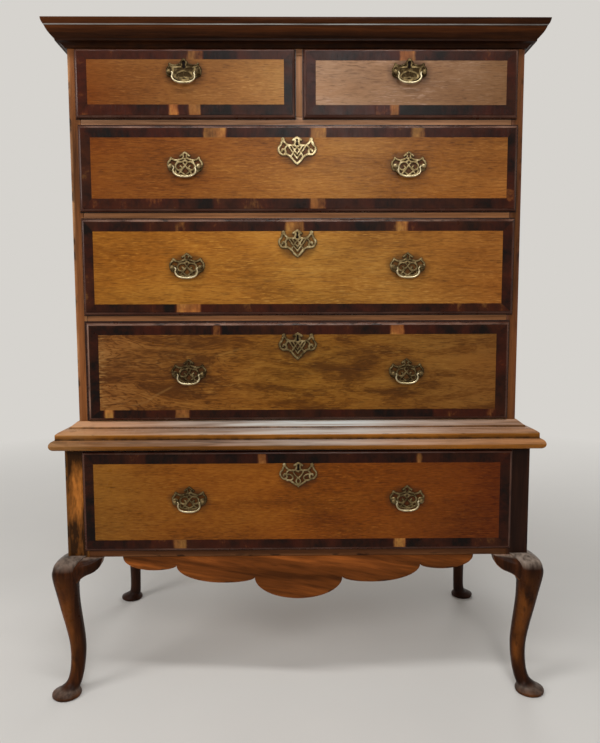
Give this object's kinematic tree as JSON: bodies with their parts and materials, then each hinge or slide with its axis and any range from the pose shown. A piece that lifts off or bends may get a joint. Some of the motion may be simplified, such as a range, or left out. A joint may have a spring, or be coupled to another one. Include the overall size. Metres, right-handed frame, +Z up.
{
  "type": "chest on stand",
  "caption": "Chest on stand in oak with walnut crossbanding: short over long drawers in an upper case, on a stand with a drawer, lobed apron, cabriole legs and pierced brass handles.",
  "frame": {"origin": "on the floor, midway between the outer edges of the feet", "axes": "+Z up, -Y towards the front of the drawers, +X to the right as seen from the front"},
  "size_m": [1.131, 0.5814, 1.5048],
  "materials": {
    "oak_front": "waxed oak with walnut crossbanding",
    "walnut_case": "waxed walnut and oak, worn at the edges",
    "walnut_moulding": "polished walnut",
    "walnut_leg": "polished walnut",
    "oak_lining": "dry unfinished oak",
    "brass_plate": "aged pierced brass",
    "brass_bail": "worn bright brass"
  },
  "bodies": {
    "carcass": {"back_left_leg": "walnut_leg", "back_right_leg": "walnut_leg", "centre_partition": "walnut_case", "cornice_moulding": "walnut_moulding", "front_apron": "walnut_leg", "front_left_leg": "walnut_leg", "front_right_leg": "walnut_leg", "lower_divider": "walnut_case", "middle_divider": "walnut_case", "stand_back": "oak_lining", "stand_bottom_rail": "walnut_case", "stand_left_runner": "oak_lining", "stand_left_side": "walnut_case", "stand_right_runner": "oak_lining", "stand_right_side": "walnut_case", "stand_top_rail": "walnut_case", "top_board": "walnut_case", "upper_back_boards": "oak_lining", "upper_bottom_board": "oak_lining", "upper_divider": "walnut_case", "upper_left_side": "walnut_case", "upper_right_side": "walnut_case", "upper_top_rail": "walnut_case", "waist_moulding": "walnut_moulding"},
    "short_left_drawer": {"short_left_drawer_front": "oak_front", "short_left_drawer_box": "oak_lining", "short_left_handle_plate": "brass_plate"},
    "short_left_handle_bail": {"short_left_handle_bail": "brass_bail"},
    "short_right_drawer": {"short_right_drawer_front": "oak_front", "short_right_drawer_box": "oak_lining", "short_right_handle_plate": "brass_plate"},
    "short_right_handle_bail": {"short_right_handle_bail": "brass_bail"},
    "upper_long_drawer": {"upper_long_drawer_front": "oak_front", "upper_long_drawer_box": "oak_lining", "upper_long_left_handle_plate": "brass_plate", "upper_long_right_handle_plate": "brass_plate", "upper_long_escutcheon": "brass_plate"},
    "upper_long_left_handle_bail": {"upper_long_left_handle_bail": "brass_bail"},
    "upper_long_right_handle_bail": {"upper_long_right_handle_bail": "brass_bail"},
    "middle_long_drawer": {"middle_long_drawer_front": "oak_front", "middle_long_drawer_box": "oak_lining", "middle_long_left_handle_plate": "brass_plate", "middle_long_right_handle_plate": "brass_plate", "middle_long_escutcheon": "brass_plate"},
    "middle_long_left_handle_bail": {"middle_long_left_handle_bail": "brass_bail"},
    "middle_long_right_handle_bail": {"middle_long_right_handle_bail": "brass_bail"},
    "lower_long_drawer": {"lower_long_drawer_front": "oak_front", "lower_long_drawer_box": "oak_lining", "lower_long_left_handle_plate": "brass_plate", "lower_long_right_handle_plate": "brass_plate", "lower_long_escutcheon": "brass_plate"},
    "lower_long_left_handle_bail": {"lower_long_left_handle_bail": "brass_bail"},
    "lower_long_right_handle_bail": {"lower_long_right_handle_bail": "brass_bail"},
    "stand_drawer": {"stand_drawer_front": "oak_front", "stand_drawer_box": "oak_lining", "stand_left_handle_plate": "brass_plate", "stand_right_handle_plate": "brass_plate", "stand_escutcheon": "brass_plate"},
    "stand_left_handle_bail": {"stand_left_handle_bail": "brass_bail"},
    "stand_right_handle_bail": {"stand_right_handle_bail": "brass_bail"}
  },
  "joints": [
    {"name": "short_left_slide", "type": "slide", "parent": "carcass", "child": "short_left_drawer", "axis": [0, -1, 0], "range_m": [0, 0.36]},
    {"name": "short_left_handle_bail_hinge", "type": "hinge", "parent": "short_left_drawer", "child": "short_left_handle_bail", "pos_m": [-0.245, -0.24575, 1.3998], "axis": [-1, 0, 0], "range_deg": [0, 150]},
    {"name": "short_right_slide", "type": "slide", "parent": "carcass", "child": "short_right_drawer", "axis": [0, -1, 0], "range_m": [0, 0.36]},
    {"name": "short_right_handle_bail_hinge", "type": "hinge", "parent": "short_right_drawer", "child": "short_right_handle_bail", "pos_m": [0.245, -0.24575, 1.3998], "axis": [-1, 0, 0], "range_deg": [0, 150]},
    {"name": "upper_long_slide", "type": "slide", "parent": "carcass", "child": "upper_long_drawer", "axis": [0, -1, 0], "range_m": [0, 0.36]},
    {"name": "upper_long_left_handle_bail_hinge", "type": "hinge", "parent": "upper_long_drawer", "child": "upper_long_left_handle_bail", "pos_m": [-0.246, -0.24575, 1.2013], "axis": [-1, 0, 0], "range_deg": [0, 150]},
    {"name": "upper_long_right_handle_bail_hinge", "type": "hinge", "parent": "upper_long_drawer", "child": "upper_long_right_handle_bail", "pos_m": [0.246, -0.24575, 1.2013], "axis": [-1, 0, 0], "range_deg": [0, 150]},
    {"name": "middle_long_slide", "type": "slide", "parent": "carcass", "child": "middle_long_drawer", "axis": [0, -1, 0], "range_m": [0, 0.36]},
    {"name": "middle_long_left_handle_bail_hinge", "type": "hinge", "parent": "middle_long_drawer", "child": "middle_long_left_handle_bail", "pos_m": [-0.246, -0.24575, 0.9818], "axis": [-1, 0, 0], "range_deg": [0, 150]},
    {"name": "middle_long_right_handle_bail_hinge", "type": "hinge", "parent": "middle_long_drawer", "child": "middle_long_right_handle_bail", "pos_m": [0.246, -0.24575, 0.9818], "axis": [-1, 0, 0], "range_deg": [0, 150]},
    {"name": "lower_long_slide", "type": "slide", "parent": "carcass", "child": "lower_long_drawer", "axis": [0, -1, 0], "range_m": [0, 0.36]},
    {"name": "lower_long_left_handle_bail_hinge", "type": "hinge", "parent": "lower_long_drawer", "child": "lower_long_left_handle_bail", "pos_m": [-0.246, -0.24575, 0.7448], "axis": [-1, 0, 0], "range_deg": [0, 150]},
    {"name": "lower_long_right_handle_bail_hinge", "type": "hinge", "parent": "lower_long_drawer", "child": "lower_long_right_handle_bail", "pos_m": [0.246, -0.24575, 0.7448], "axis": [-1, 0, 0], "range_deg": [0, 150]},
    {"name": "stand_slide", "type": "slide", "parent": "carcass", "child": "stand_drawer", "axis": [0, -1, 0], "range_m": [0, 0.36]},
    {"name": "stand_left_handle_bail_hinge", "type": "hinge", "parent": "stand_drawer", "child": "stand_left_handle_bail", "pos_m": [-0.246, -0.27275, 0.459], "axis": [-1, 0, 0], "range_deg": [0, 150]},
    {"name": "stand_right_handle_bail_hinge", "type": "hinge", "parent": "stand_drawer", "child": "stand_right_handle_bail", "pos_m": [0.246, -0.27275, 0.459], "axis": [-1, 0, 0], "range_deg": [0, 150]}
  ]
}
